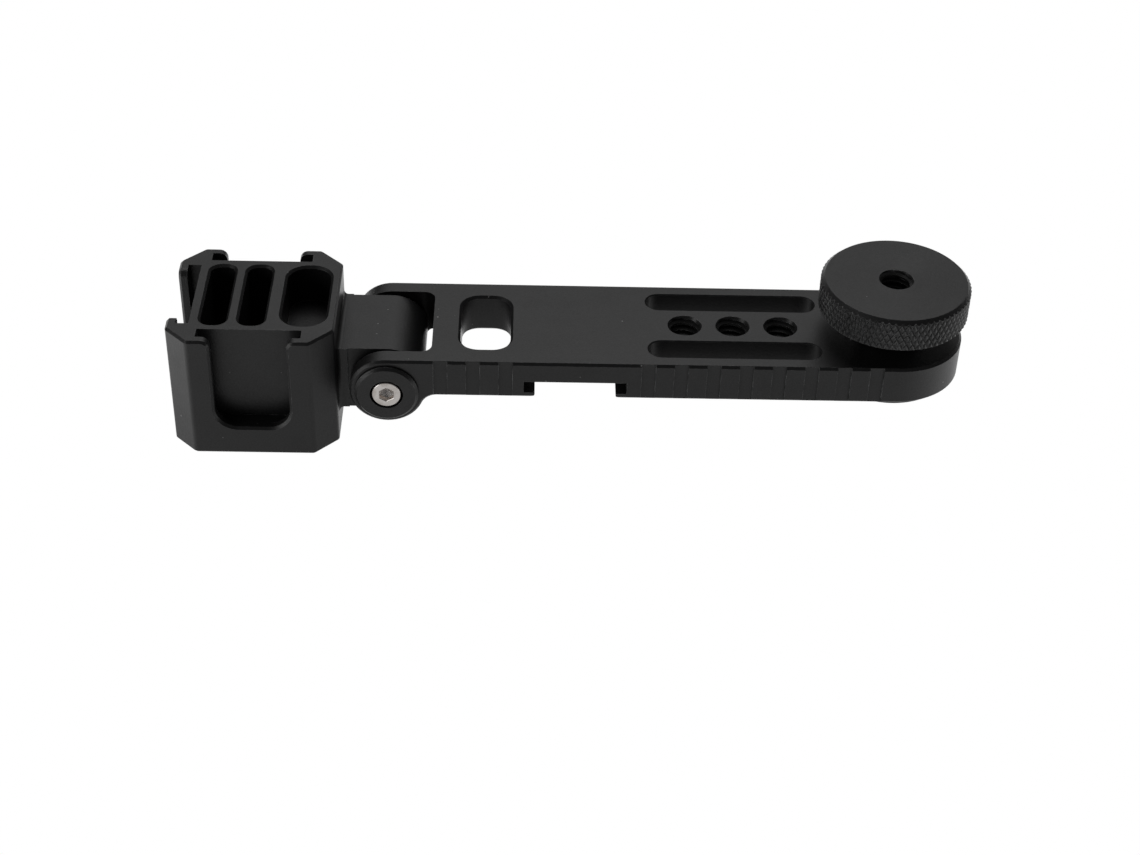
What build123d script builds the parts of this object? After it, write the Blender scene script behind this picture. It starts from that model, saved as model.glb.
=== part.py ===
"""Folding cold-shoe bracket: a slotted arm with a 1/4"-20 thumb screw at one end and,
on a friction hinge at the other end, a block with three cold shoes.

Frame: millimetres, +X along the arm towards the thumb screw, +Z up out of the arm's top face.
The origin is on the thumb screw's axis, in the arm's underside.
"""

import os
from math import sqrt

from build123d import *

# ---- arm ----
arm_width = 25.4
arm_thickness = 7.5
arm_edge = 0.45  # chamfer along the arm's top and bottom edges
end_offset = 0.5  # the round end's centre, past the thumb screw's axis
fine_edge = 0.2  # small edge break on slots and fork
window_width = 9.1  # along the arm
window_length = 16.3  # across the arm
window_center_x = -74.1
window_corner = 3.4
slot_width = 5.0
slot_length = 31.4
slot_spacing = 14.8
hole_pitch = 8.8
hole_center_x = -28.9  # the middle tapped hole, and the middle of the slots
groove_width = 2.5
groove_pitch = 5.86
groove_depth = 0.4
long_groove_count = 8
long_groove_x = -45.9  # left edge of the first groove of the long row
short_groove_count = 3
short_groove_x = -83.3

# ---- cold shoes ----
shoe_width = 18.6  # standard accessory shoe, inside the channel
shoe_gap = 2.4
block_shoe_opening = 13.5
block_shoe_lip = 1.65
block_shoe_length = 19.0
block_shoe_corner = 4.0
lip_lead_in = 1.5  # rounded top corner of a block shoe's lips
arm_shoe_opening = 14.6
arm_shoe_lip = 1.1
arm_shoe_round = 0.9
arm_shoe_x = -57.75

# ---- hinge ----
pivot_x = -91.7
ear_radius = 6.75
pivot_z = arm_thickness - ear_radius  # the ears' tops are flush with the arm's top face
ear_blend = 3.0  # fillet from the ears into the arm's underside
fork_gap = 18.9
fork_depth = 8.0  # from the pivot to the fork's floor
fork_corner = 2.0
tongue_width = 17.0
tongue_radius = 6.5
neck_width = 17.5
neck_step = 0.4  # the neck widens this far outside the ears
neck_blend = 0.9
barrel_diameter = 8.0
flange_diameter = 11.5
flange_thickness = 0.65
flange_edge = 0.5
spring_thickness = 0.25
spring_diameter = 10.6
running_clearance = 0.05  # radial, hinge barrel in its bores and stud in the arm
washer_clearance = 0.1  # radial, rings round the barrel and the stud
rub_clearance = 0.02  # friction washer to tongue
rim_clearance = 0.1  # friction washer to the fork's rounded corners

# ---- pivot screw, M3 socket head ----
screw_diameter = 3.0
screw_length = 20.0
screw_head_diameter = 5.5
screw_head_height = 3.0
screw_head_edge = 0.28
screw_socket = 2.5  # across flats
screw_socket_depth = 1.3
screw_hole_clearance = 0.25
nut_spigot_length = 6.5
nut_spigot_gap = 0.5  # left between the nut's flange and the barrel's end, so the springs can close

# ---- shoe block ----
block_length = 30.0  # along the arm
block_width = 30.0
block_height = 24.9
block_top = 12.0  # above the pivot axis
block_reach = 9.1  # from the pivot axis to the block's near face
block_corner = 4.15
block_corner_blend = 1.2
block_edge = 0.45
pocket_length = 18.7
pocket_flat = 0.8  # straight stretch at a pocket's rounded ends
pocket_edge = 0.45
narrow_pocket_width = 4.6
narrow_pocket_depth = 15.0
narrow_pocket_pitch = 6.8
wide_pocket_width = 8.0
wide_pocket_depth = 7.5
wide_pocket_offset = 9.2  # from the block's middle, towards the hinge

# ---- thumb screw, 1/4"-20 ----
thread_hole_diameter = 6.35
thread_diameter = 6.25
stud_protrusion = 6.3  # below the arm's underside
stud_tip_chamfer = 0.6
stud_shank_diameter = 5.0
stud_seat_depth = 4.0  # inside the wheel's hub
wheel_diameter = 27.2
wheel_thickness = 6.2
wheel_edge = 0.75
wheel_under_edge = 0.3
wheel_socket_depth = 5.8
hub_diameter = 12.0
hub_height = 4.25
knob_washer_thickness = 0.5
knob_washer_diameter = 12.0

# ---- rubber pad round the stud ----
pad_diameter = 23.5
pad_hole = 9.0
pad_recess = 0.8
pad_proud = 0.85

# ---- worked out from the above ----
half_width = arm_width / 2
fork_floor_x = pivot_x + fork_depth
bore_diameter = barrel_diameter + 2 * running_clearance
ring_bore = barrel_diameter + 2 * washer_clearance
friction_diameter = 2 * (fork_depth - fork_corner - rim_clearance)
block_x = pivot_x - block_reach - block_length / 2
block_top_z = pivot_z + block_top
shoe_stop_z = block_top_z - block_shoe_length
hub_bottom_z = arm_thickness + knob_washer_thickness
wheel_bottom_z = hub_bottom_z + hub_height
wheel_top_z = wheel_bottom_z + wheel_thickness
flange_back = half_width + spring_thickness  # distance of a flange's back from the arm's middle
flange_front = flange_back + flange_thickness
head_seat = flange_front - screw_head_height
across = 2 * (arm_width + block_width)  # longer than any cut needs


def ring(outer, inner):
    """Flat ring profile in the open sketch."""
    Circle(outer / 2)
    Circle(inner / 2, mode=Mode.SUBTRACT)


def save(piece, name):
    piece.part.label = name
    export_step(piece.part, f"parts/{name}.step")


os.makedirs("parts", exist_ok=True)

# Planes that look along the pivot axis, from the middle of the fork to the near and the far side.
pivot_near = Plane((pivot_x, 0, pivot_z), x_dir=(1, 0, 0), z_dir=(0, -1, 0))
pivot_far = Plane((pivot_x, 0, pivot_z), x_dir=(-1, 0, 0), z_dir=(0, 1, 0))
above_arm = Plane.XY.offset(arm_thickness)

# ---- arm ----
with BuildPart() as arm:
    # side view: bar and ear in one outline, with a fillet where the ear meets the underside
    with BuildSketch(Plane.XZ) as side:
        with Locations((pivot_x, 0)):
            Rectangle(
                end_offset + half_width - pivot_x, arm_thickness, align=(Align.MIN, Align.MIN)
            )
        with Locations((pivot_x, pivot_z)):
            Circle(ear_radius)
        ear_root = (pivot_x + sqrt(ear_radius**2 - pivot_z**2), 0, 0)
        fillet(side.vertices().sort_by_distance(ear_root)[0], ear_blend)
    extrude(amount=half_width, both=True)
    # plan view: straight sides and a round end
    with BuildSketch(Plane.XY):
        with Locations((end_offset, 0)):
            Circle(half_width)
            Rectangle(across + end_offset - pivot_x, arm_width, align=(Align.MAX, Align.CENTER))
    extrude(amount=across, both=True, mode=Mode.INTERSECT)
    side_edges = [
        edge
        for face in arm.faces().filter_by(Axis.Y)
        for edge in face.edges().filter_by(Axis.Z, reverse=True)
    ]
    end_edges = arm.edges().filter_by(GeomType.CIRCLE).group_by(Axis.X)[-1]
    chamfer(side_edges + end_edges, arm_edge)
    # fork
    with BuildSketch(Plane.XY) as fork:
        with Locations((fork_floor_x, 0)):
            Rectangle(across, fork_gap, align=(Align.MAX, Align.CENTER))
        fillet(fork.vertices().group_by(Axis.X)[-1], fork_corner)
    extrude(amount=across, both=True, mode=Mode.SUBTRACT)
    # window and slots
    with BuildSketch(above_arm):
        with Locations((window_center_x, 0)):
            RectangleRounded(window_width, window_length, window_corner)
    extrude(amount=-arm_thickness, mode=Mode.SUBTRACT)
    window_rim = arm.edges(Select.LAST).group_by(Axis.Z)
    chamfer(window_rim[-1] + window_rim[0], arm_edge)
    with BuildSketch(above_arm):
        with Locations((hole_center_x, 0)):
            with GridLocations(0, slot_spacing, 1, 2):
                SlotOverall(slot_length, slot_width)
    extrude(amount=-arm_thickness, mode=Mode.SUBTRACT)
    slot_rims = arm.edges(Select.LAST).group_by(Axis.Z)
    chamfer(slot_rims[-1] + slot_rims[0], fine_edge)
    # row of tapped holes, the thumb screw's hole and the pad's recess
    with Locations((hole_center_x, 0, arm_thickness)):
        with GridLocations(hole_pitch, 0, 3, 1):
            Hole(thread_hole_diameter / 2)
    with Locations((0, 0, arm_thickness)):
        Hole(thread_hole_diameter / 2)
    with BuildSketch(Plane.XY):
        Circle(pad_diameter / 2)
    extrude(amount=pad_recess, mode=Mode.SUBTRACT)
    # cold shoe across the underside
    with BuildSketch(Plane.XZ):
        with Locations((arm_shoe_x, 0)):
            Rectangle(arm_shoe_opening, 2 * arm_shoe_lip, align=(Align.CENTER, Align.CENTER))
        with Locations((arm_shoe_x, arm_shoe_lip)):
            Rectangle(shoe_width, shoe_gap, align=(Align.CENTER, Align.MIN))
    extrude(amount=across, both=True, mode=Mode.SUBTRACT)
    lip_edges = (
        arm.edges()
        .filter_by(Axis.Y)
        .filter_by_position(Axis.Z, -fine_edge, fine_edge)
        .filter_by_position(
            Axis.X,
            arm_shoe_x - arm_shoe_opening / 2 - fine_edge,
            arm_shoe_x + arm_shoe_opening / 2 + fine_edge,
        )
    )
    fillet(lip_edges, arm_shoe_round)
    # grip grooves
    for first, count in (
        (long_groove_x, long_groove_count),
        (short_groove_x, short_groove_count),
    ):
        row_middle = first + (groove_width + (count - 1) * groove_pitch) / 2
        with Locations((row_middle, 0, arm_thickness / 2)):
            with GridLocations(groove_pitch, arm_width, count, 2):
                Box(groove_width, 2 * groove_depth, 2 * arm_thickness, mode=Mode.SUBTRACT)
    # pivot bore through both ears
    with BuildSketch(pivot_near):
        Circle(bore_diameter / 2)
    extrude(amount=across, both=True, mode=Mode.SUBTRACT)
save(arm, "arm")

# ---- shoe block, with its neck and tongue ----
# one plane on each face that carries a shoe, at its top, facing outwards with its local Y upwards
half_block = block_length / 2
shoe_faces = [
    Plane((block_x, -block_width / 2, block_top_z), x_dir=(1, 0, 0), z_dir=(0, -1, 0)),
    Plane((block_x - half_block, 0, block_top_z), x_dir=(0, -1, 0), z_dir=(-1, 0, 0)),
    Plane((block_x, block_width / 2, block_top_z), x_dir=(-1, 0, 0), z_dir=(0, 1, 0)),
]
pockets = [
    (block_x - narrow_pocket_pitch, narrow_pocket_width, narrow_pocket_depth),
    (block_x, narrow_pocket_width, narrow_pocket_depth),
    (block_x + wide_pocket_offset, wide_pocket_width, wide_pocket_depth),
]

with BuildPart() as shoe_block:
    with BuildSketch(Plane.XY.offset(block_top_z)) as plan:
        with Locations((block_x, 0)):
            Rectangle(block_length, block_width)
        chamfer(plan.vertices(), block_corner)
        fillet(plan.vertices(), block_corner_blend)
    extrude(amount=-block_height)
    for face_plane in shoe_faces:
        # channel behind the lips
        with BuildSketch(face_plane.offset(-block_shoe_lip)) as channel:
            Rectangle(shoe_width, 2 * block_shoe_length)
            fillet(channel.vertices().group_by(Axis.Y)[0], block_shoe_corner)
        extrude(amount=-shoe_gap, mode=Mode.SUBTRACT)
        # opening between the lips, whose top corners are rounded
        with BuildSketch(face_plane) as opening:
            Rectangle(block_shoe_opening, 2 * block_shoe_length)
            fillet(opening.vertices().group_by(Axis.Y)[0], block_shoe_corner)
            Rectangle(block_length, block_shoe_length, align=(Align.CENTER, Align.MIN))
            for side in (-1, 1):
                mouth = (side * block_shoe_opening / 2, 0, 0)
                fillet(opening.vertices().sort_by_distance(mouth)[0], lip_lead_in)
        extrude(amount=-block_shoe_lip, mode=Mode.SUBTRACT)
    # break the outer edges and the rims of the shoe openings, but not the upright seams
    whole_height = block_height - fine_edge
    skins = shoe_block.faces().filter_by(lambda face: face.bounding_box().size.Z > whole_height)
    seams = shoe_block.edges().filter_by(Axis.Z).filter_by(lambda edge: edge.length > whole_height)
    chamfer([edge for edge in skins.edges() if edge not in seams], block_edge)
    # neck, and the narrower tongue that turns between the ears
    neck_end = ear_radius + neck_step
    with BuildSketch(pivot_near):
        with Locations((-neck_end, 0)):
            Rectangle(
                block_reach - neck_end + block_edge, 2 * tongue_radius, align=(Align.MAX, Align.CENTER)
            )
    extrude(amount=neck_width / 2, both=True)
    root_edges = shoe_block.edges(Select.NEW).group_by(Axis.X)[0]
    fillet(root_edges, neck_blend)
    with BuildSketch(pivot_near):
        Circle(tongue_radius)
        Rectangle(neck_end, 2 * tongue_radius, align=(Align.MAX, Align.CENTER))
    extrude(amount=tongue_width / 2, both=True)
    with BuildSketch(pivot_near):
        Circle(bore_diameter / 2)
    extrude(amount=tongue_width, both=True, mode=Mode.SUBTRACT)
    # pockets
    for pocket_x, pocket_width, pocket_depth in pockets:
        with BuildSketch(Plane.XY.offset(block_top_z)):
            with Locations((pocket_x, 0)):
                RectangleRounded(pocket_width, pocket_length, (pocket_width - pocket_flat) / 2)
        extrude(amount=-pocket_depth, mode=Mode.SUBTRACT)
        chamfer(shoe_block.edges(Select.LAST).group_by(Axis.Z)[-1], pocket_edge)
save(shoe_block, "shoe_block")

# ---- hinge hardware ----
with BuildPart() as pivot_sleeve:
    with BuildSketch(pivot_near.offset(-half_width + nut_spigot_gap)):
        Circle(barrel_diameter / 2)
    extrude(amount=half_width - nut_spigot_gap + flange_back)
    with BuildSketch(pivot_near.offset(flange_back)):
        Circle(flange_diameter / 2)
    extrude(amount=flange_thickness)
    chamfer(pivot_sleeve.edges().group_by(Axis.Y)[0], flange_edge)
    # seat for the screw's head, hole for its shank and room for the nut's spigot
    with BuildSketch(pivot_near.offset(head_seat)):
        Circle(screw_head_diameter / 2 + screw_hole_clearance)
    extrude(amount=across, mode=Mode.SUBTRACT)
    with BuildSketch(pivot_near):
        Circle(screw_diameter / 2 + screw_hole_clearance)
    extrude(amount=across, both=True, mode=Mode.SUBTRACT)
    with BuildSketch(pivot_far.offset(flange_back - nut_spigot_length - nut_spigot_gap)):
        Circle(screw_head_diameter / 2 + screw_hole_clearance)
    extrude(amount=across, mode=Mode.SUBTRACT)
save(pivot_sleeve, "pivot_sleeve")

with BuildPart() as pivot_nut:
    with BuildSketch(pivot_far.offset(flange_back - nut_spigot_length)):
        Circle(screw_head_diameter / 2)
    extrude(amount=nut_spigot_length)
    with BuildSketch(pivot_far.offset(flange_back)):
        Circle(flange_diameter / 2)
    extrude(amount=flange_thickness)
    chamfer(pivot_nut.edges().group_by(Axis.Y)[-1], flange_edge)
    with BuildSketch(pivot_far.offset(flange_back - nut_spigot_length)):
        Circle(screw_diameter / 2)
    extrude(amount=nut_spigot_length - nut_spigot_gap, mode=Mode.SUBTRACT)
save(pivot_nut, "pivot_nut")

with BuildPart() as pivot_screw:
    with BuildSketch(pivot_near.offset(head_seat)):
        Circle(screw_head_diameter / 2)
    extrude(amount=screw_head_height)
    chamfer(pivot_screw.edges().group_by(Axis.Y)[0], screw_head_edge)
    with BuildSketch(pivot_near.offset(head_seat - screw_length)):
        Circle(screw_diameter / 2)
    extrude(amount=screw_length)
    with BuildSketch(pivot_near.offset(flange_front)):
        RegularPolygon(screw_socket / 2, 6, major_radius=False, rotation=30)
    extrude(amount=-screw_socket_depth, mode=Mode.SUBTRACT)
save(pivot_screw, "pivot_screw")

for end, side_plane in (("near", pivot_near), ("far", pivot_far)):
    with BuildPart() as disc_spring:
        with BuildSketch(side_plane.offset(half_width)):
            ring(spring_diameter, ring_bore)
        extrude(amount=spring_thickness)
    save(disc_spring, f"disc_spring_{end}")

    with BuildPart() as friction_washer:
        with BuildSketch(side_plane.offset(tongue_width / 2 + rub_clearance)):
            ring(friction_diameter, ring_bore)
        extrude(amount=(fork_gap - tongue_width) / 2 - rub_clearance)
    save(friction_washer, f"friction_washer_{end}")

# ---- thumb screw ----
with BuildPart() as thumb_wheel:
    with BuildSketch(Plane.XY.offset(hub_bottom_z)):
        Circle(hub_diameter / 2)
    extrude(amount=hub_height)
    with BuildSketch(Plane.XY.offset(wheel_bottom_z)):
        Circle(wheel_diameter / 2)
    extrude(amount=wheel_thickness)
    rims = thumb_wheel.edges().filter_by(GeomType.CIRCLE).group_by(SortBy.RADIUS)[-1]
    lower_rim, upper_rim = rims.sort_by(Axis.Z)
    chamfer(upper_rim, wheel_edge)
    chamfer(lower_rim, wheel_under_edge)
    with BuildSketch(Plane.XY.offset(wheel_top_z)):
        Circle(thread_hole_diameter / 2)
    extrude(amount=-wheel_socket_depth, mode=Mode.SUBTRACT)
    with BuildSketch(Plane.XY.offset(hub_bottom_z)):
        Circle(thread_diameter / 2)
    extrude(amount=stud_seat_depth, mode=Mode.SUBTRACT)
save(thumb_wheel, "thumb_wheel")

with BuildPart() as thumb_stud:
    # threaded end in the hub, plain shank through the arm, threaded end below it
    with BuildSketch(Plane.XY.offset(hub_bottom_z)):
        Circle(thread_diameter / 2)
    extrude(amount=stud_seat_depth)
    with BuildSketch(Plane.XY):
        Circle(stud_shank_diameter / 2)
    extrude(amount=hub_bottom_z)
    with BuildSketch(Plane.XY.offset(-stud_protrusion)):
        Circle(thread_diameter / 2)
    extrude(amount=stud_protrusion)
    chamfer(thumb_stud.edges().group_by(Axis.Z)[0], stud_tip_chamfer)
save(thumb_stud, "thumb_stud")

with BuildPart() as knob_washer:
    with BuildSketch(above_arm):
        ring(knob_washer_diameter, stud_shank_diameter + 2 * washer_clearance)
    extrude(amount=knob_washer_thickness)
save(knob_washer, "knob_washer")

with BuildPart() as anti_slip_pad:
    with BuildSketch(Plane.XY.offset(-pad_proud)):
        ring(pad_diameter, pad_hole)
    extrude(amount=pad_proud + pad_recess)
save(anti_slip_pad, "anti_slip_pad")
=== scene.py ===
from math import cos, pi, radians, sin, tan, tau

import bmesh
import bpy
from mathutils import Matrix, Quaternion, Vector


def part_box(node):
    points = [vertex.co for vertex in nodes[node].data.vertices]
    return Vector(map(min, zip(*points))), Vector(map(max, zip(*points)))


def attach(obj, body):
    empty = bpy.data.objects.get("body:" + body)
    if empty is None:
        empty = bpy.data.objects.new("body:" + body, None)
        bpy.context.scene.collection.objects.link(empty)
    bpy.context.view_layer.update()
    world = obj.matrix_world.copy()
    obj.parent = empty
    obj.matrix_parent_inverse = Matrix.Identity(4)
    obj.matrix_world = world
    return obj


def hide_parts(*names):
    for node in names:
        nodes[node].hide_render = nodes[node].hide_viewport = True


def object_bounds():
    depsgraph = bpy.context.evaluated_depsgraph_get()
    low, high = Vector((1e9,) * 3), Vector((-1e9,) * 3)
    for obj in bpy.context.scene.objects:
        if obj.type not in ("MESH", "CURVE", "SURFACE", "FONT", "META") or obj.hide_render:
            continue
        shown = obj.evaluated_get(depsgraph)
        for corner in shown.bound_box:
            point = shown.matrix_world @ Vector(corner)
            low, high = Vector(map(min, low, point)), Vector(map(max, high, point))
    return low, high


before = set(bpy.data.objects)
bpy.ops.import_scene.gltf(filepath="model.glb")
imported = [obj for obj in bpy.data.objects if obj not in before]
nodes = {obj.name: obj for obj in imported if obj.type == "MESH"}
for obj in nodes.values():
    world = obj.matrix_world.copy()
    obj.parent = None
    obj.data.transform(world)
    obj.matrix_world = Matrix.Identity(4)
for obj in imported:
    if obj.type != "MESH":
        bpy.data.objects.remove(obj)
cadLow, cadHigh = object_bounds()
mm = 0.001
print("frame loaded,", len(nodes), "nodes")


# places that the pieces share, all read from the frame
def middleOf(node):
    low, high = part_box(node)
    return (low + high) / 2


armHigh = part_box("arm")[1]
armUnderside = 0.0
wheelLow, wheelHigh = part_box("thumb_wheel")
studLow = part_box("thumb_stud")[0]
padLow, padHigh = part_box("anti_slip_pad")
pivot = middleOf("pivot_sleeve")
wheelMiddle = middleOf("thumb_wheel")


# ---- node helpers ----
def addNode(tree, kind, wires=None, **settings):
    node = tree.nodes.new("ShaderNode" + kind)
    for key, value in settings.items():
        setattr(node, key, value)
    for socket, value in (wires or {}).items():
        if isinstance(value, bpy.types.NodeSocket):
            tree.links.new(value, node.inputs[socket])
        else:
            node.inputs[socket].default_value = value
    return node


def math(tree, operation, *values, clamp=False):
    wires = dict(enumerate(values))
    return addNode(tree, "Math", wires, operation=operation, use_clamp=clamp).outputs[0]


def remap(tree, value, fromLow, fromHigh, toLow=0.0, toHigh=1.0, smooth=False):
    wires = {"Value": value, "From Min": fromLow, "From Max": fromHigh, "To Min": toLow, "To Max": toHigh}
    kind = "SMOOTHSTEP" if smooth else "LINEAR"
    return addNode(tree, "MapRange", wires, interpolation_type=kind).outputs["Result"]


def newGroup(name, inputs, outputs):
    tree = bpy.data.node_groups.new(name, "ShaderNodeTree")
    for label, value in inputs.items():
        kind = "NodeSocketVector" if isinstance(value, tuple) else "NodeSocketFloat"
        socket = tree.interface.new_socket(name=label, in_out="INPUT", socket_type=kind)
        socket.default_value = value
    for label in outputs:
        kind = "NodeSocketVector" if label == "Normal" else "NodeSocketFloat"
        tree.interface.new_socket(name=label, in_out="OUTPUT", socket_type=kind)
    given = tree.nodes.new("NodeGroupInput").outputs
    result = tree.nodes.new("NodeGroupOutput").inputs
    return tree, given, result


def place(material, group, **values):
    node = material.node_tree.nodes.new("ShaderNodeGroup")
    node.node_tree = group
    for label, value in values.items():
        node.inputs[label].default_value = value
    return node.outputs


def blend(tree, a, shareA, b, shareB):
    return math(tree, "ADD", math(tree, "MULTIPLY", a, shareA), math(tree, "MULTIPLY", b, shareB))


# ---- effects that several materials use ----
edgeWearAndGlint = {
    "samples": 8,
    "reach": 2.4,  # width of the worn band with its painted highlight, in rounding radii
    "turn": (0.995, 0.88),  # how far the surface bends, from a plain face to a worn edge with painted highlight
    "patchScale": 700.0,
    "patchDetail": 3.0,
    "patches": (0.38, 0.66),
}


# rounds the hard edges in the shading, and marks them for wear and for a painted highlight along them
def makeSoftEdge():
    tree, given, result = newGroup("softEdge", {"Radius": 0.1 * mm, "Worn": 1.0}, ["Normal", "Mask"])
    samples = edgeWearAndGlint["samples"]
    rounded = addNode(tree, "Bevel", {"Radius": given["Radius"]}, samples=samples).outputs["Normal"]
    wide = math(tree, "MULTIPLY", given["Radius"], edgeWearAndGlint["reach"])
    near = addNode(tree, "Bevel", {"Radius": wide}, samples=samples).outputs["Normal"]
    flat = addNode(tree, "NewGeometry").outputs["Normal"]
    facing = addNode(tree, "VectorMath", {0: near, 1: flat}, operation="DOT_PRODUCT").outputs["Value"]
    edge = remap(tree, facing, *edgeWearAndGlint["turn"], smooth=True)
    spots = addNode(tree, "TexCoord").outputs["Object"]
    cloud = {"Vector": spots, "Scale": edgeWearAndGlint["patchScale"], "Detail": edgeWearAndGlint["patchDetail"]}
    patches = addNode(tree, "TexNoise", cloud).outputs["Fac"]
    patchy = remap(tree, patches, *edgeWearAndGlint["patches"])
    tree.links.new(rounded, result["Normal"])
    # this mask pales the edges in the colour: partly wear, partly a painted highlight, in concave corners
    # too
    patchyWearAndGlint = math(tree, "MULTIPLY", edge, patchy)
    tree.links.new(math(tree, "MULTIPLY", patchyWearAndGlint, given["Worn"]), result["Mask"])
    return tree


blast = {
    "fineDetail": 2.0,
    "coarseScale": 240.0,
    "coarseDetail": 4.0,
    "fineHeight": 0.6,
    "pitHeight": 0.5,
    "fineTone": 0.7,
    "coarseTone": 0.3,
    "toneRange": (0.3, 0.7),
}


# fine matte grain left by bead blasting
def makeBlastGrain():
    tree, given, result = newGroup("blastGrain", {"Scale": 3400.0}, ["Height", "Tone"])
    spots = addNode(tree, "TexCoord").outputs["Object"]
    close = {"Vector": spots, "Scale": given["Scale"], "Detail": blast["fineDetail"]}
    fine = addNode(tree, "TexNoise", close).outputs["Fac"]
    pits = addNode(
        tree, "TexVoronoi", {"Vector": spots, "Scale": given["Scale"]}, feature="SMOOTH_F1"
    ).outputs["Distance"]
    broad = {"Vector": spots, "Scale": blast["coarseScale"], "Detail": blast["coarseDetail"]}
    coarse = addNode(tree, "TexNoise", broad).outputs["Fac"]
    height = blend(tree, fine, blast["fineHeight"], pits, blast["pitHeight"])
    tone = blend(tree, fine, blast["fineTone"], coarse, blast["coarseTone"])
    tree.links.new(height, result["Height"])
    tree.links.new(remap(tree, tone, *blast["toneRange"]), result["Tone"])
    return tree


speck = {"size": (0.04, 0.13), "strength": (0.25, 1.0)}


# sparse pale specks of dust
def makeDust():
    tree, given, result = newGroup("dust", {"Scale": 650.0, "Share": 0.05}, ["Mask"])
    spots = addNode(tree, "TexCoord").outputs["Object"]
    cells = addNode(tree, "TexVoronoi", {"Vector": spots, "Scale": given["Scale"]})
    pick = addNode(tree, "SeparateColor", {0: cells.outputs["Color"]})
    chosen = math(tree, "LESS_THAN", pick.outputs[0], given["Share"])
    size = remap(tree, pick.outputs[1], 0.0, 1.0, *speck["size"])
    near = math(tree, "LESS_THAN", cells.outputs["Distance"], size)
    faint = remap(tree, pick.outputs[2], 0.0, 1.0, *speck["strength"])
    tree.links.new(math(tree, "MULTIPLY", math(tree, "MULTIPLY", chosen, near), faint), result["Mask"])
    return tree


smudges = {"detail": 5.0, "distortion": 0.8, "range": (0.35, 0.68)}


# broad faint smudges from handling
def makeHandling():
    tree, given, result = newGroup("handling", {"Scale": 55.0}, ["Mask"])
    spots = addNode(tree, "TexCoord").outputs["Object"]
    wires = {"Vector": spots, "Scale": given["Scale"]}
    wires.update({"Detail": smudges["detail"], "Distortion": smudges["distortion"]})
    cloud = addNode(tree, "TexNoise", wires).outputs["Fac"]
    tree.links.new(remap(tree, cloud, *smudges["range"], smooth=True), result["Mask"])
    return tree


ringDetail = 2.0


# rings left by the lathe about an axis: Across keeps the two directions square to that axis
def makeTurnedRings():
    tree, given, result = newGroup(
        "turnedRings", {"Centre": (0.0, 0.0, 0.0), "Across": (1.0, 1.0, 0.0), "Scale": 9000.0}, ["Height"]
    )
    spots = addNode(tree, "TexCoord").outputs["Object"]
    arm = addNode(tree, "VectorMath", {0: spots, 1: given["Centre"]}, operation="SUBTRACT").outputs[0]
    flat = addNode(tree, "VectorMath", {0: arm, 1: given["Across"]}, operation="MULTIPLY").outputs[0]
    reach = addNode(tree, "VectorMath", {0: flat}, operation="LENGTH").outputs["Value"]
    wires = {"W": reach, "Scale": given["Scale"], "Detail": ringDetail}
    rings = addNode(tree, "TexNoise", wires, noise_dimensions="1D").outputs["Fac"]
    tree.links.new(rings, result["Height"])
    return tree


softEdge = makeSoftEdge()
blastGrain = makeBlastGrain()
dust = makeDust()
handling = makeHandling()
turnedRings = makeTurnedRings()
print("effects ready")


# ---- materials ----
def newMaterial(name, metallic, ior):
    material = bpy.data.materials.new(name)
    material.use_nodes = True
    shader = material.node_tree.nodes["Principled BSDF"]
    shader.inputs["Metallic"].default_value = metallic
    shader.inputs["IOR"].default_value = ior
    return material, material.node_tree, shader


def mixColours(tree, factor, a, b):
    node = addNode(tree, "Mix", {0: factor}, data_type="RGBA")
    for socket, value in ((node.inputs[6], a), (node.inputs[7], b)):
        if isinstance(value, bpy.types.NodeSocket):
            tree.links.new(value, socket)
        else:
            socket.default_value = (*value, 1.0)
    return node.outputs[2]


def finishNormal(tree, shader, height, normal, depth):
    bump = addNode(tree, "Bump", {"Height": height, "Normal": normal, "Distance": depth * mm})
    tree.links.new(bump.outputs["Normal"], shader.inputs["Normal"])


# dyed oxide on aluminium: near black, with paler edges that are partly rubbed wear and partly a painted
# highlight
def makeAnodised(name, look):
    material, tree, shader = newMaterial(name, 0.0, look["ior"])
    edge = place(material, softEdge, Radius=look["edgeRadius"] * mm, Worn=look["wearAndGlint"])
    grain = place(material, blastGrain, Scale=look["grainScale"])
    specks = place(material, dust, Share=look["dustShare"])
    touched = place(material, handling)
    base = mixColours(tree, grain["Tone"], look["dark"], look["pale"])
    # paler edges: partly rubbed wear, partly a painted highlight
    wornAndGlintEdges = mixColours(tree, edge["Mask"], base, look["wornAndGlintEdges"])
    dusty = mixColours(tree, specks["Mask"], wornAndGlintEdges, look["dustColour"])
    tree.links.new(dusty, shader.inputs["Base Color"])
    matte = remap(tree, touched["Mask"], 0.0, 1.0, look["roughness"], look["roughness"] - look["smudge"])
    uneven = math(tree, "ADD", matte, remap(tree, grain["Tone"], 0.0, 1.0, look["uneven"], -look["uneven"]))
    polished = math(tree, "MULTIPLY", edge["Mask"], look["polish"])
    tree.links.new(math(tree, "SUBTRACT", uneven, polished), shader.inputs["Roughness"])
    height = grain["Height"]
    if "rings" in look:
        lathe = place(material, turnedRings, **look["rings"])["Height"]
        height = math(tree, "ADD", math(tree, "MULTIPLY", height, look["blastShare"]), lathe)
    finishNormal(tree, shader, height, edge["Normal"], look["grainDepth"])
    return material


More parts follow.
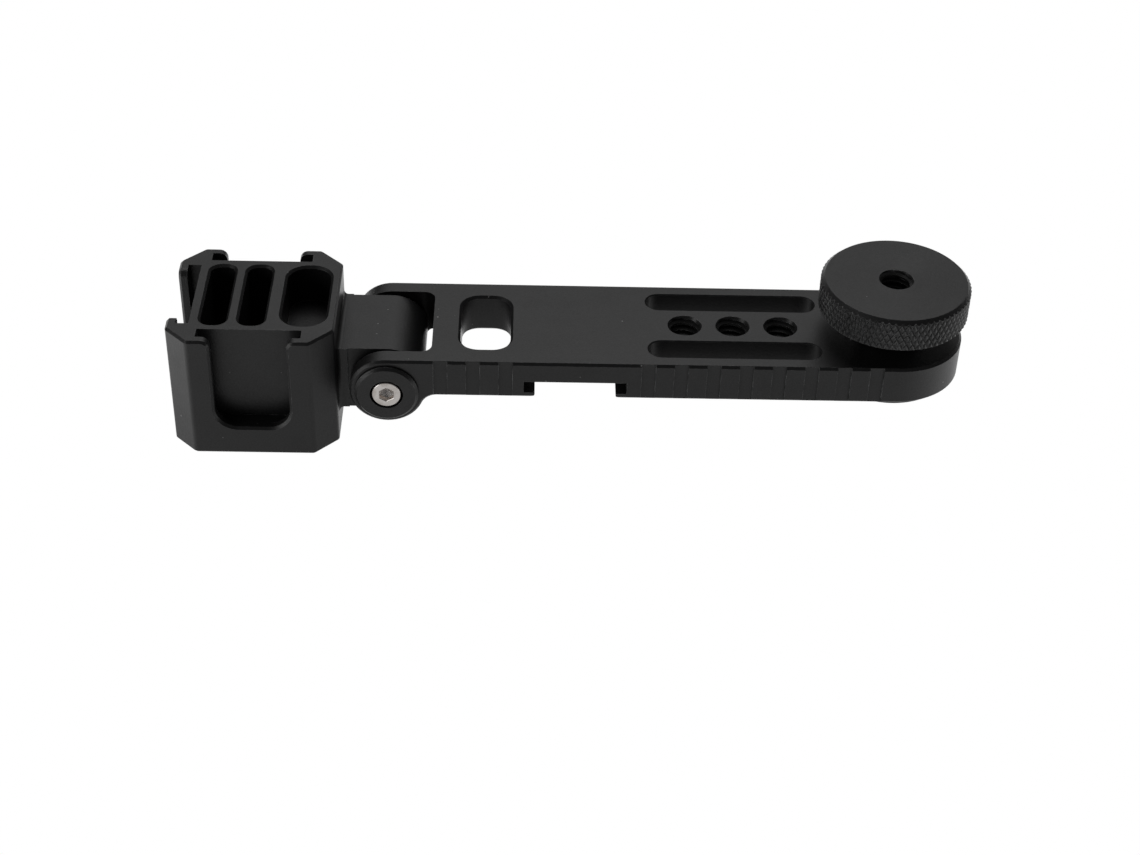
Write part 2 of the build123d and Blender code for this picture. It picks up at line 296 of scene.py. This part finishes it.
anodisedLook = {
    "ior": 1.5,
    "edgeRadius": 0.05,
    "wearAndGlint": 1.0,
    "grainScale": 3400.0,
    "grainDepth": 0.03,
    "dustShare": 0.09,
    "dark": (0.004, 0.004, 0.0041),
    "pale": (0.014, 0.014, 0.0144),
    # edge colour: partly rubbed wear, partly a painted highlight
    "wornAndGlintEdges": (0.22, 0.22, 0.224),
    "dustColour": (0.26, 0.26, 0.26),
    "roughness": 0.42,
    "uneven": 0.03,  # how much the grain changes the roughness
    "smudge": 0.05,  # how much smoother the handled places are
    "polish": 0.12,  # how much smoother the worn, painted-highlight edges are
}
acrossWheel = {"Centre": (wheelMiddle.x, wheelMiddle.y, 0.0), "Across": (1.0, 1.0, 0.0)}
acrossPivot = {"Centre": (pivot.x, 0.0, pivot.z), "Across": (1.0, 0.0, 1.0)}
wheelLook = {
    **anodisedLook,
    "rings": acrossWheel,
    "blastShare": 1.0,
    "grainDepth": 0.02,
    "edgeRadius": 0.04,
}
threadLook = {
    **anodisedLook,
    "roughness": 0.3,
    "grainDepth": 0.004,
    "pale": (0.03, 0.03, 0.03),
}
pivotLook = {
    **anodisedLook,
    "rings": acrossPivot,
    "blastShare": 0.4,
    "roughness": 0.38,
    "edgeRadius": 0.04,
}
anodised = makeAnodised("blastedBlack", anodisedLook)
wheelBlack = makeAnodised("wheelBlack", wheelLook)
threadBlack = makeAnodised("threadBlack", threadLook)
pivotBlack = makeAnodised("pivotBlack", pivotLook)


# bare steel: bright, with turned rings, a few dull patches and paler edges that are partly wear and partly
# a painted highlight
def makeSteel(name, look):
    material, tree, shader = newMaterial(name, 1.0, look["ior"])
    edge = place(material, softEdge, Radius=look["edgeRadius"] * mm, Worn=look["wearAndGlint"])
    touched = place(material, handling, Scale=look["patchScale"])
    rings = place(material, turnedRings, **look["rings"])
    base = mixColours(tree, touched["Mask"], look["bright"], look["dull"])
    # paler edges: partly wear, partly a painted highlight
    tree.links.new(mixColours(tree, edge["Mask"], base, look["wornAndGlintEdges"]), shader.inputs["Base Color"])
    rough = remap(tree, touched["Mask"], 0.0, 1.0, look["roughness"], look["roughness"] + look["dulling"])
    tree.links.new(rough, shader.inputs["Roughness"])
    finishNormal(tree, shader, rings["Height"], edge["Normal"], look["ringDepth"])
    return material


screwLook = {
    "ior": 1.45,
    "edgeRadius": 0.03,
    "wearAndGlint": 1.0,
    "patchScale": 420.0,
    "bright": (0.86, 0.82, 0.79),
    "dull": (0.66, 0.61, 0.57),
    # edge colour: partly wear, partly a painted highlight
    "wornAndGlintEdges": (0.92, 0.9, 0.88),
    "roughness": 0.26,
    "dulling": 0.12,  # how much rougher the dull patches are
    "ringDepth": 0.003,
    "rings": acrossPivot,
}
studLook = {**screwLook, "rings": acrossWheel, "bright": (0.62, 0.61, 0.6), "roughness": 0.24}
springLook = {
    **screwLook,
    "bright": (0.06, 0.06, 0.062),
    "dull": (0.03, 0.03, 0.032),
    # edge colour: partly wear, partly a painted highlight
    "wornAndGlintEdges": (0.3, 0.3, 0.3),
    "roughness": 0.34,
}
screwSteel = makeSteel("screwSteel", screwLook)
studSteel = makeSteel("studSteel", studLook)
springSteel = makeSteel("springSteel", springLook)


# moulded black plastic and rubber: matte, with a leathery fine texture
def makeMoulded(name, look):
    material, tree, shader = newMaterial(name, 0.0, look["ior"])
    edge = place(material, softEdge, Radius=look["edgeRadius"] * mm, Worn=look["wearAndGlint"])
    grain = place(material, blastGrain, Scale=look["grainScale"])
    specks = place(material, dust, Share=look["dustShare"])
    touched = place(material, handling, Scale=look["touchScale"])
    base = mixColours(tree, grain["Tone"], look["dark"], look["pale"])
    dusty = mixColours(tree, specks["Mask"], base, look["dustColour"])
    tree.links.new(dusty, shader.inputs["Base Color"])
    rough = remap(tree, touched["Mask"], 0.0, 1.0, look["roughness"], look["roughness"] - look["smudge"])
    tree.links.new(rough, shader.inputs["Roughness"])
    finishNormal(tree, shader, grain["Height"], edge["Normal"], look["grainDepth"])
    return material


rubberLook = {
    "ior": 1.5,
    "edgeRadius": 0.15,
    "wearAndGlint": 0.3,
    "touchScale": 90.0,
    "grainScale": 1500.0,
    "grainDepth": 0.03,
    "dustShare": 0.12,
    "dark": (0.012, 0.012, 0.012),
    "pale": (0.024, 0.024, 0.024),
    "dustColour": (0.2, 0.2, 0.19),
    "roughness": 0.78,
    "smudge": 0.08,
}
nylonLook = {**rubberLook, "grainScale": 2600.0, "grainDepth": 0.008, "dustShare": 0.02, "roughness": 0.48}
padRubber = makeMoulded("padRubber", rubberLook)
blackNylon = makeMoulded("blackNylon", nylonLook)
print("materials ready")

cadFinish = {
    "arm": anodised,
    "shoe_block": anodised,
    "pivot_sleeve": pivotBlack,
    "pivot_nut": pivotBlack,
    "pivot_screw": screwSteel,
    "disc_spring_near": springSteel,
    "disc_spring_far": springSteel,
    "friction_washer_near": blackNylon,
    "friction_washer_far": blackNylon,
    "knob_washer": blackNylon,
    "thumb_wheel": wheelBlack,
    "thumb_stud": studSteel,
    "anti_slip_pad": padRubber,
}
for name, material in cadFinish.items():
    for spot in nodes[name].material_slots:
        spot.material = material


# ---- mesh helpers ----
mergeWithin = 1e-7  # metres; points closer than this become one


# the angles of a quarter circle
def quarterTurn(steps):
    return [a * pi / (2 * steps) for a in range(steps + 1)]


def ringPoints(mesh, radii, heights, centre):
    # one ring of points, with a radius and a height for each column
    count = len(radii)
    return [
        mesh.verts.new((centre.x + r * cos(tau * i / count), centre.y + r * sin(tau * i / count), z))
        for i, (r, z) in enumerate(zip(radii, heights))
    ]


def joinRings(mesh, lower, upper):
    count = len(lower)
    for i in range(count):
        j = (i + 1) % count
        face = mesh.faces.new((lower[i], lower[j], upper[j], upper[i]))
        face.smooth = True


def lathe(mesh, profile, count, centre):
    rings = [ringPoints(mesh, [r] * count, [z] * count, centre) for r, z in profile]
    for lower, upper in zip(rings, rings[1:]):
        joinRings(mesh, lower, upper)
    return rings


def makePiece(name, mesh, body, material, sharpAngle=32.0):
    bmesh.ops.remove_doubles(mesh, verts=mesh.verts, dist=mergeWithin)
    bmesh.ops.dissolve_degenerate(mesh, edges=mesh.edges, dist=mergeWithin)
    bmesh.ops.recalc_face_normals(mesh, faces=mesh.faces)
    data = bpy.data.meshes.new(name)
    mesh.to_mesh(data)
    mesh.free()
    data.set_sharp_from_angle(angle=radians(sharpAngle))
    data.materials.append(material)
    piece = bpy.data.objects.new(name, data)
    bpy.context.scene.collection.objects.link(piece)
    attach(piece, body)
    print(name, len(data.polygons), "faces")
    return piece


thread = {
    "pitch": 1.27,
    "columns": 72,
    "flankRows": 3,
    "crestFlat": 0.25,  # as a share of the pitch
    "rootFlat": 0.125,
}


# how high a thread stands along its pitch, from 1 on the crest to 0 in the root
def threadShare(phase):
    crestFlat, rootFlat = thread["crestFlat"], thread["rootFlat"]
    flank = (1.0 - crestFlat - rootFlat) / 2
    t = phase % 1.0
    if t < rootFlat:
        return 0.0
    if t < rootFlat + flank:
        return (t - rootFlat) / flank
    if t < rootFlat + flank + crestFlat:
        return 1.0
    return (1.0 - t) / flank


# the rings of a screw thread between two heights; radiusAt shapes its ends
def threadRings(mesh, low, high, radiusAt, centre):
    pitch = thread["pitch"] * mm
    flank = (1.0 - thread["crestFlat"] - thread["rootFlat"]) / 2
    steps = thread["flankRows"]
    marks = [0.0] + [thread["rootFlat"] + flank * k / steps for k in range(steps + 1)]
    marks += [1.0 - flank + flank * k / steps for k in range(steps)]
    count = thread["columns"]
    turns = int((high - low) / pitch) + 2
    made = []
    for turn in range(-1, turns):
        for mark in marks:
            lift = [low + pitch * (turn + mark + i / count) for i in range(count + 1)]
            heights = [min(max(z, low), high) for z in lift]
            shares = [threadShare((z - low) / pitch - i / count) for i, z in enumerate(heights)]
            radii = [radiusAt(z, share) for z, share in zip(heights, shares)]
            angles = [tau * i / count for i in range(count + 1)]
            points = zip(radii, heights, angles)
            made.append(
                [mesh.verts.new((centre.x + r * cos(a), centre.y + r * sin(a), z)) for r, z, a in points]
            )
    for lower, upper in zip(made, made[1:]):
        for i in range(count):
            face = mesh.faces.new((lower[i], lower[i + 1], upper[i + 1], upper[i]))
            face.smooth = True
    return made


# ---- tapped holes of the arm ----
tapped = {
    "bore": 3.165,
    "crest": 2.55,
    "wall": 0.005,  # behind the threads' roots
    "lip": 0.75,  # slope of the countersinks at a hole's ends
    "setBack": 0.02,  # keeps the liner's ends inside the hole
    "places": {"inner": -37.7, "middle": -28.9, "outer": -20.1},
}


# a closed sleeve that lines a hole, threaded on its inside
def makeTappedLiner(mesh, low, high, centre, openBottom=True):
    bore, crest, lip = tapped["bore"] * mm, tapped["crest"] * mm, tapped["lip"]
    wall = tapped["wall"] * mm

    def radiusAt(z, share):
        threaded = bore - (bore - crest) * share
        cone = bore - (high - z) * lip
        if openBottom:
            cone = max(cone, bore - (z - low) * lip)
        return max(threaded, cone)

    inside = threadRings(mesh, low, high, radiusAt, centre)
    count = thread["columns"]
    outside = lathe(mesh, [(bore + wall, low), (bore + wall, high)], count, centre)
    joinRings(mesh, outside[0], inside[0][:count])
    joinRings(mesh, inside[-1][:count], outside[1])


for which, x in tapped["places"].items():
    mesh = bmesh.new()
    spot = Vector((x * mm, 0, 0))
    inset = tapped["setBack"] * mm
    makeTappedLiner(mesh, armUnderside + inset, armHigh.z - inset, spot)
    makePiece("tappedThread_" + which, mesh, "arm", threadBlack)

# ---- knurled thumb wheel ----
wheel = {
    "diamonds": 72,  # round the rim
    "knurlAngle": 30.0,  # of the grooves to the axis
    "knurlDepth": 0.3,
    "knurlSteps": 8,  # mesh steps across a diamond
    "knurlRound": 2.2,  # 1 leaves sharp pyramids, more rounds their tips
    "topEdge": 0.75,
    "underEdge": 0.3,
    "thickness": 6.2,
    "hubRadius": 6.0,
    "hubEdge": 0.3,
    "socketDepth": 5.8,
    "socketRadius": 3.175,
    "eye": 0.2,  # radius of the small discs that close the turned faces
    "roundSteps": 4,
    "sharpAngle": 24.0,
}


def knurlHeight(u, v):
    # 0 in the crossed grooves, 1 on the diamonds' tips
    offset = max(abs((u + v) % 1.0 - 0.5), abs((u - v) % 1.0 - 0.5)) * 2
    return 1.0 - offset ** wheel["knurlRound"]


def makeKnurledWheel():
    mesh = bmesh.new()
    radius = (wheelHigh.x - wheelLow.x) / 2
    depth = wheel["knurlDepth"] * mm
    top, topEdge = wheelHigh.z, wheel["topEdge"] * mm
    bottom, underEdge = wheelHigh.z - wheel["thickness"] * mm, wheel["underEdge"] * mm
    steps = wheel["knurlSteps"]
    columns = wheel["diamonds"] * steps
    low, high = bottom + underEdge, top - topEdge
    pitch = tau * radius / wheel["diamonds"] / tan(radians(wheel["knurlAngle"]))
    rows = round((high - low) / pitch * steps)
    rings = []
    for row in range(rows + 1):
        radii = [radius - depth * (1 - knurlHeight(i / steps, row / steps)) for i in range(columns)]
        heights = [low + (high - low) * row / rows] * columns
        if row == rows:  # the top edge's cone cuts the grooves higher up
            heights = [high + (radius - r) for r in radii]
        if row == 0:
            heights = [low - (radius - r) for r in radii]
        rings.append(ringPoints(mesh, radii, heights, wheelMiddle))
    for row, (lower, upper) in enumerate(zip(rings, rings[1:])):
        for i in range(columns):
            j = (i + 1) % columns
            u, v = (i + 0.5) / steps, (row + 0.5) / steps
            rising = abs((u + v) % 1.0 - 0.5) > abs((u - v) % 1.0 - 0.5)
            corners = (lower[i], lower[j], upper[j], upper[i])
            if rising:
                mesh.faces.new((corners[0], corners[1], corners[3]))
                mesh.faces.new((corners[1], corners[2], corners[3]))
            else:
                mesh.faces.new((corners[0], corners[1], corners[2]))
                mesh.faces.new((corners[0], corners[2], corners[3]))

    # top: edge cone, face and the socket
    socket, floor = wheel["socketRadius"] * mm, top - wheel["socketDepth"] * mm
    eye = wheel["eye"] * mm
    above = [(radius - topEdge, top), (socket, top), (socket, floor), (eye, floor)]
    upperRings = lathe(mesh, above, columns, wheelMiddle)
    joinRings(mesh, rings[-1], upperRings[0])
    mesh.faces.new(upperRings[-1])
    # underside: edge, face, fillet into the hub, hub and its end
    hub, hubEdge, end = wheel["hubRadius"] * mm, wheel["hubEdge"] * mm, wheelLow.z
    turns = quarterTurn(wheel["roundSteps"])
    corner = [(hub + hubEdge * (1 - sin(a)), bottom - hubEdge * (1 - cos(a))) for a in turns]
    under = [(radius - underEdge, bottom), *corner, (hub, end + hubEdge), (hub - hubEdge, end), (eye, end)]
    lowerRings = lathe(mesh, under, columns, wheelMiddle)
    joinRings(mesh, rings[0], lowerRings[0])
    mesh.faces.new(lowerRings[-1])
    piece = makePiece("knurledWheel", mesh, "thumb_screw", wheelBlack, wheel["sharpAngle"])
    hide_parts("thumb_wheel")

    liner = bmesh.new()
    inset = tapped["setBack"] * mm
    makeTappedLiner(liner, floor + inset, top - inset, wheelMiddle, openBottom=False)
    makePiece("wheelThread", liner, "thumb_screw", threadBlack)


makeKnurledWheel()

# ---- threaded stud ----
stud = {
    "crest": 3.12,
    "root": 2.45,
    "tipFlat": 0.05,
    "seatGap": 0.1,  # below the wheel's hub
    "runOut": 0.02,
}


def makeStud():
    mesh = bmesh.new()
    crest, root = stud["crest"] * mm, stud["root"] * mm
    low, high = studLow.z, armUnderside

    def radiusAt(z, share):
        cut = min(crest, root + (z - low) + stud["tipFlat"] * mm, root + (high - z))
        return min(root + (crest - root) * share, cut)

    rings = threadRings(mesh, low, high, radiusAt, wheelMiddle)
    count = thread["columns"]
    foot = rings[0][:count]
    mesh.faces.new(foot)
    shaft = [(root, high + stud["runOut"] * mm), (root, wheelLow.z - stud["seatGap"] * mm)]
    upper = lathe(mesh, shaft, count, wheelMiddle)
    joinRings(mesh, rings[-1][:count], upper[0])
    mesh.faces.new(upper[-1])
    piece = makePiece("threadedStud", mesh, "thumb_screw", studSteel)
    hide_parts("thumb_stud")


makeStud()

# ---- hinge screw ----
screw = {
    "head": 5.34,
    "face": 4.86,  # flat part of the head
    "rimDrop": 0.6,  # how far the rounded rim reaches down the head
    "headHeight": 3.0,
    "shank": 2.96,
    "socket": 2.5,  # across flats
    "mouth": 0.12,  # chamfer of the socket
    "socketDepth": 1.05,
    "coneDepth": 0.7,
    "point": 0.02,  # radius of the cone's blunt tip
    "tip": 0.4,  # chamfer at the shank's end
    "columns": 96,
    "rimSteps": 6,
    "sharpAngle": 25.0,
}


def hexRadius(angle, flats):
    # distance to the side of a hexagon with flats to the left and right
    turn = (angle + pi / 6) % (pi / 3) - pi / 6
    return flats / 2 / cos(turn)


def makeSocketScrew():
    mesh = bmesh.new()
    low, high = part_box("pivot_screw")
    count, face = screw["columns"], screw["face"] / 2
    angles = [tau * i / count for i in range(count)]
    rim = screw["head"] / 2 - face
    turns = quarterTurn(screw["rimSteps"])
    rounded = [(face + rim * sin(a), screw["rimDrop"] * (1 - cos(a))) for a in turns]
    socket = [hexRadius(a, screw["socket"]) for a in angles]
    mouth = [r + screw["mouth"] for r in socket]
    length, tip, shank = (high.y - low.y) / mm, screw["tip"], screw["shank"] / 2
    profile = [
        ([screw["point"]] * count, screw["socketDepth"] + screw["coneDepth"]),
        (socket, screw["socketDepth"]),
        (socket, screw["mouth"]),
        (mouth, 0.0),
        *[([r] * count, z) for r, z in rounded],
        ([screw["head"] / 2] * count, screw["headHeight"]),
        ([shank] * count, screw["headHeight"]),
        ([shank] * count, length - tip),
        ([shank - tip] * count, length),
    ]
    rings = [
        [
            mesh.verts.new((pivot.x + r * mm * cos(a), low.y + depth * mm, pivot.z + r * mm * sin(a)))
            for r, a in zip(radii, angles)
        ]
        for radii, depth in profile
    ]
    for lower, upper in zip(rings, rings[1:]):
        joinRings(mesh, lower, upper)
    mesh.faces.new(rings[0])
    mesh.faces.new(rings[-1])
    piece = makePiece("socketScrew", mesh, "arm", screwSteel, screw["sharpAngle"])
    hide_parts("pivot_screw")


makeSocketScrew()

# ---- rubber pad ----
pad = {
    "hole": 4.5,  # radius
    "round": 0.35,
    "groove": 0.3,
    "grooveWidth": 0.55,
    "grooveFloor": 0.6,  # its width, as a share of the mouth
    "grooves": 4,
    "columns": 128,
    "roundSteps": 4,
    "sharpAngle": 30.0,
}


def makePad():
    mesh = bmesh.new()
    outer = (padHigh.x - padLow.x) / 2
    inner, soft = pad["hole"] * mm, pad["round"] * mm
    low, high = padLow.z, padHigh.z
    quarter = [(1 - cos(a), 1 - sin(a)) for a in quarterTurn(pad["roundSteps"])]
    profile = [(outer, high)]
    profile += [(outer - soft * a, low + soft * b) for a, b in quarter]
    pitch = (outer - inner - 2 * soft) / (pad["grooves"] + 1)
    wide, deep = pad["grooveWidth"] * mm / 2, pad["groove"] * mm
    narrow = wide * pad["grooveFloor"]
    for k in range(1, pad["grooves"] + 1):
        middle = outer - soft - k * pitch
        profile += [(middle + wide, low), (middle + narrow, low + deep)]
        profile += [(middle - narrow, low + deep), (middle - wide, low)]
    profile += [(inner + soft * a, low + soft * b) for a, b in reversed(quarter)]
    profile += [(inner, high), (outer, high)]
    lathe(mesh, profile, pad["columns"], wheelMiddle)
    piece = makePiece("ribbedPad", mesh, "arm", padRubber, pad["sharpAngle"])
    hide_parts("anti_slip_pad")


makePad()

# ---- floor, light and camera ----
studio = {
    "floorDrop": 30.0,  # below the lowest point, so that the block can swing down
    "floorSize": 6000.0,
    "floorSeen": (1.0, 1.0, 1.0),
    "floorLit": (0.4, 0.4, 0.4),
    "glowFront": 0.36,  # painted light: the floor glows, dimmer in front of the bracket
    "glowAround": 1.1,  # and brighter behind and beside it, a painted pool of light
    "sideFade": (0.08, 0.19),  # metres to either side, from front glow to full
    "backFade": (0.0, 0.07),
    "surround": (0.06, 0.06, 0.0605),
    "backdropSeen": (1.0, 1.0, 1.0),
}


def makeFloor():
    mesh = bmesh.new()
    half = studio["floorSize"] * mm / 2
    z = cadLow.z - studio["floorDrop"] * mm
    corners = [mesh.verts.new((x * half, y * half, z)) for x, y in ((-1, -1), (1, -1), (1, 1), (-1, 1))]
    mesh.faces.new(corners)
    data = bpy.data.meshes.new("studioFloor")
    mesh.to_mesh(data)
    mesh.free()
    floor = bpy.data.objects.new("studioFloor", data)
    bpy.context.scene.collection.objects.link(floor)
    material = bpy.data.materials.new("paleFloor")
    material.use_nodes = True
    tree = material.node_tree
    tree.nodes.clear()
    spots = addNode(tree, "TexCoord").outputs["Object"]
    across = addNode(tree, "SeparateXYZ", {0: spots})
    middle = (cadLow.x + cadHigh.x) / 2
    beside = math(tree, "ABSOLUTE", math(tree, "SUBTRACT", across.outputs[0], middle))
    sides = remap(tree, beside, *studio["sideFade"], smooth=True)
    back = remap(tree, across.outputs[1], *studio["backFade"], smooth=True)
    around = math(tree, "MAXIMUM", sides, back)
    # painted light: the floor glows dimmer in front of the bracket and brighter behind and beside it, in
    # place of light falling on it
    glow = remap(tree, around, 0.0, 1.0, studio["glowFront"], studio["glowAround"])
    diffuse = addNode(tree, "BsdfDiffuse", {"Color": (*studio["floorLit"], 1.0)}).outputs[0]
    glowing = addNode(tree, "Emission", {"Strength": glow}).outputs[0]
    matte = addNode(tree, "AddShader", {0: diffuse, 1: glowing}).outputs[0]
    white = addNode(tree, "Emission", {"Color": (*studio["floorSeen"], 1.0)}).outputs[0]
    seen = addNode(tree, "LightPath").outputs["Is Camera Ray"]
    clear = addNode(tree, "BsdfTransparent").outputs[0]
    behind = addNode(tree, "NewGeometry").outputs["Backfacing"]
    lit = addNode(tree, "MixShader", {0: seen, 1: matte, 2: white}).outputs[0]
    both = addNode(tree, "MixShader", {0: behind, 1: lit, 2: clear}).outputs[0]
    addNode(tree, "OutputMaterial", {"Surface": both})
    data.materials.append(material)


makeFloor()

scene = bpy.context.scene
scene.view_settings.view_transform = "Standard"
world = bpy.data.worlds.new("studioSurround")
scene.world = world
world.use_nodes = True
tree = world.node_tree
tree.nodes.clear()
room = addNode(tree, "Background", {"Color": (*studio["surround"], 1.0)}).outputs[0]
backdrop = addNode(tree, "Background", {"Color": (*studio["backdropSeen"], 1.0)}).outputs[0]
seen = addNode(tree, "LightPath").outputs["Is Camera Ray"]
whole = addNode(tree, "MixShader", {0: seen, 1: room, 2: backdrop}).outputs[0]
addNode(tree, "OutputWorld", {"Surface": whole})

# soft boxes: one behind, one above and one low at the left
softBoxes = {
    "backBox": {"at": (-0.05, 0.75, 0.62), "aim": (-0.05, 0, 0), "size": 0.9, "power": 1.25},
    "overhead": {"at": (-0.05, 0.35, 0.8), "aim": (-0.05, -0.1, 0), "size": 0.5, "power": 1.6},
    "leftBox": {"at": (-0.5, -0.2, 0.14), "aim": (-0.12, 0, 0), "size": 0.3, "power": 0.5},
}
for name, box in softBoxes.items():
    light = bpy.data.lights.new(name, "AREA")
    light.size = box["size"]
    light.energy = box["power"]
    lamp = bpy.data.objects.new(name, light)
    lamp.location = box["at"]
    lamp.rotation_euler = (Vector(box["aim"]) - lamp.location).to_track_quat("-Z", "Y").to_euler()
    scene.collection.objects.link(lamp)

view = {
    "aim": (-58.33, -8.04, -10.39),
    "distance": 392.3,
    "heading": 1.626,  # degrees clockwise from +Y
    "drop": 38.05,  # degrees below the horizon
    "roll": 1.904,
    "lens": 66.81,
    "sensor": 36.0,
    "clip": (0.01, 20.0),
}
heading, drop = radians(view["heading"]), radians(view["drop"])
sight = Vector((sin(heading) * cos(drop), cos(heading) * cos(drop), -sin(drop)))
lensData = bpy.data.cameras.new("studioCamera")
lensData.lens = view["lens"]
lensData.sensor_width = view["sensor"]
lensData.clip_start, lensData.clip_end = view["clip"]
camera = bpy.data.objects.new("studioCamera", lensData)
camera.rotation_mode = "QUATERNION"
camera.rotation_quaternion = sight.to_track_quat("-Z", "Y") @ Quaternion((0, 0, 1), radians(view["roll"]))
camera.location = Vector(view["aim"]) * mm - sight * view["distance"] * mm
scene.collection.objects.link(camera)
scene.camera = camera
print("studio ready")
